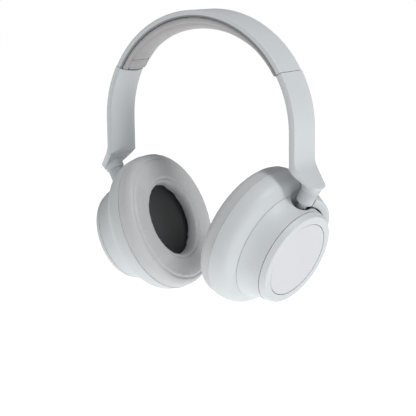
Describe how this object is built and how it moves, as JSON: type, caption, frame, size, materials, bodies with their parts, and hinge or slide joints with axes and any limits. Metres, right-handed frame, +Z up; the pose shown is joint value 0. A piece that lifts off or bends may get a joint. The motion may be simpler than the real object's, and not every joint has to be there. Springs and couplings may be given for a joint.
{
  "type": "over ear headphones",
  "caption": "Wireless over ear headphones with a padded headband, sliding arms, cups that swivel and tilt, and a turning dial round a touch plate on each cup.",
  "frame": {"origin": "underside of the headband pad at its top centre, where the headband rests on a stand or on a head", "axes": "+X towards the right cup, -Y towards the front, +Z up"},
  "size_m": [0.1814, 0.0984, 0.1986],
  "materials": {
    "battery_foil": "foil pouch",
    "bush_brass": "turned",
    "cable_rubber": "smooth jacket",
    "circuit_board": "solder mask",
    "cushion_leather": "synthetic leather, fine grain",
    "film": "thin polymer film",
    "inner_plastic": "plain moulded",
    "liner_plastic": "soft-touch moulded, slightly darker",
    "pad_leather": "synthetic leather, fine grain",
    "plate_plastic": "smooth matte touch surface",
    "rail_steel": "brushed",
    "screw_steel": "black zinc",
    "shell_plastic": "soft-touch moulded, very fine texture",
    "speaker_cloth": "knitted speaker cloth",
    "spring_steel": "cold rolled",
    "stem_finish": "satin paint matched to the shells"
  },
  "bodies": {
    "headband": {"headband_shell": "shell_plastic", "headband_spring": "spring_steel", "headband_liner": "liner_plastic", "headband_pad": "pad_leather", "headband_cable": "cable_rubber", "band_screws": "screw_steel", "detent_springs": "spring_steel", "left_rail_guide": "inner_plastic", "right_rail_guide": "inner_plastic"},
    "left_arm": {"left_arm_shell": "shell_plastic", "left_arm_liner": "liner_plastic", "left_slider_rail": "rail_steel", "left_arm_screws": "screw_steel", "left_stem_bush": "bush_brass"},
    "left_stem": {"left_stem": "stem_finish"},
    "left_cup": {"left_bell_housing": "shell_plastic", "left_neck_housing": "shell_plastic", "left_tilt_pin": "rail_steel", "left_pivot_bracket": "inner_plastic", "left_baffle": "inner_plastic", "left_baffle_screws": "screw_steel", "left_cushion_ring": "inner_plastic", "left_ear_cushion": "cushion_leather", "left_mesh_cover": "speaker_cloth", "left_driver_frame": "inner_plastic", "left_driver_magnet": "rail_steel", "left_driver_diaphragm": "film", "left_touch_plate": "plate_plastic", "left_touch_board": "circuit_board", "left_battery": "battery_foil"},
    "left_dial": {"left_dial_ring": "shell_plastic", "left_dial_core": "inner_plastic"},
    "right_arm": {"right_arm_shell": "shell_plastic", "right_arm_liner": "liner_plastic", "right_slider_rail": "rail_steel", "right_arm_screws": "screw_steel", "right_stem_bush": "bush_brass"},
    "right_stem": {"right_stem": "stem_finish"},
    "right_cup": {"right_bell_housing": "shell_plastic", "right_neck_housing": "shell_plastic", "right_tilt_pin": "rail_steel", "right_pivot_bracket": "inner_plastic", "right_baffle": "inner_plastic", "right_baffle_screws": "screw_steel", "right_cushion_ring": "inner_plastic", "right_ear_cushion": "cushion_leather", "right_mesh_cover": "speaker_cloth", "right_driver_frame": "inner_plastic", "right_driver_magnet": "rail_steel", "right_driver_diaphragm": "film", "right_touch_plate": "plate_plastic", "right_touch_board": "circuit_board", "right_main_board": "circuit_board", "right_audio_jack": "inner_plastic", "right_usb_port": "rail_steel"},
    "right_dial": {"right_dial_ring": "shell_plastic", "right_dial_core": "inner_plastic"},
    "power_button": {"right_power_button": "shell_plastic"},
    "mute_button": {"right_mute_button": "shell_plastic"}
  },
  "joints": [
    {"name": "right_arm_slide", "type": "slide", "parent": "headband", "child": "right_arm", "axis": [0.5878, 0, -0.809], "range_m": [0, 0.023]},
    {"name": "right_cup_swivel", "type": "hinge", "parent": "right_arm", "child": "right_stem", "pos_m": [0.07106, 0, -0.12306], "axis": [-0.4772, 0, -0.8788], "range_deg": [-12, 90]},
    {"name": "right_cup_tilt", "type": "hinge", "parent": "right_stem", "child": "right_cup", "pos_m": [0.07106, 0, -0.12306], "axis": [-0.0735, -0.9965, 0.0399], "range_deg": [-6, 9]},
    {"name": "right_dial_turn", "type": "hinge", "parent": "right_cup", "child": "right_dial", "pos_m": [0.07356, -0.0013, -0.15082], "axis": [0.9267, -0.0831, -0.3665], "continuous": true},
    {"name": "left_arm_slide", "type": "slide", "parent": "headband", "child": "left_arm", "axis": [-0.5878, 0, -0.809], "range_m": [0, 0.023]},
    {"name": "left_cup_swivel", "type": "hinge", "parent": "left_arm", "child": "left_stem", "pos_m": [-0.07106, 0, -0.12306], "axis": [-0.4772, 0, 0.8788], "range_deg": [-12, 90]},
    {"name": "left_cup_tilt", "type": "hinge", "parent": "left_stem", "child": "left_cup", "pos_m": [-0.07106, 0, -0.12306], "axis": [-0.0735, 0.9965, -0.0399], "range_deg": [-6, 9]},
    {"name": "left_dial_turn", "type": "hinge", "parent": "left_cup", "child": "left_dial", "pos_m": [-0.07356, -0.0013, -0.15082], "axis": [-0.9267, -0.0831, -0.3665], "continuous": true},
    {"name": "power_press", "type": "slide", "parent": "right_cup", "child": "power_button", "axis": [0.2246, -0.6593, 0.7175], "range_m": [0, 0.0005], "stiffness_N_per_m": 900, "springref_m": -0.0008},
    {"name": "mute_press", "type": "slide", "parent": "right_cup", "child": "mute_button", "axis": [0.3029, -0.412, 0.8594], "range_m": [0, 0.0005], "stiffness_N_per_m": 900, "springref_m": -0.0008}
  ]
}
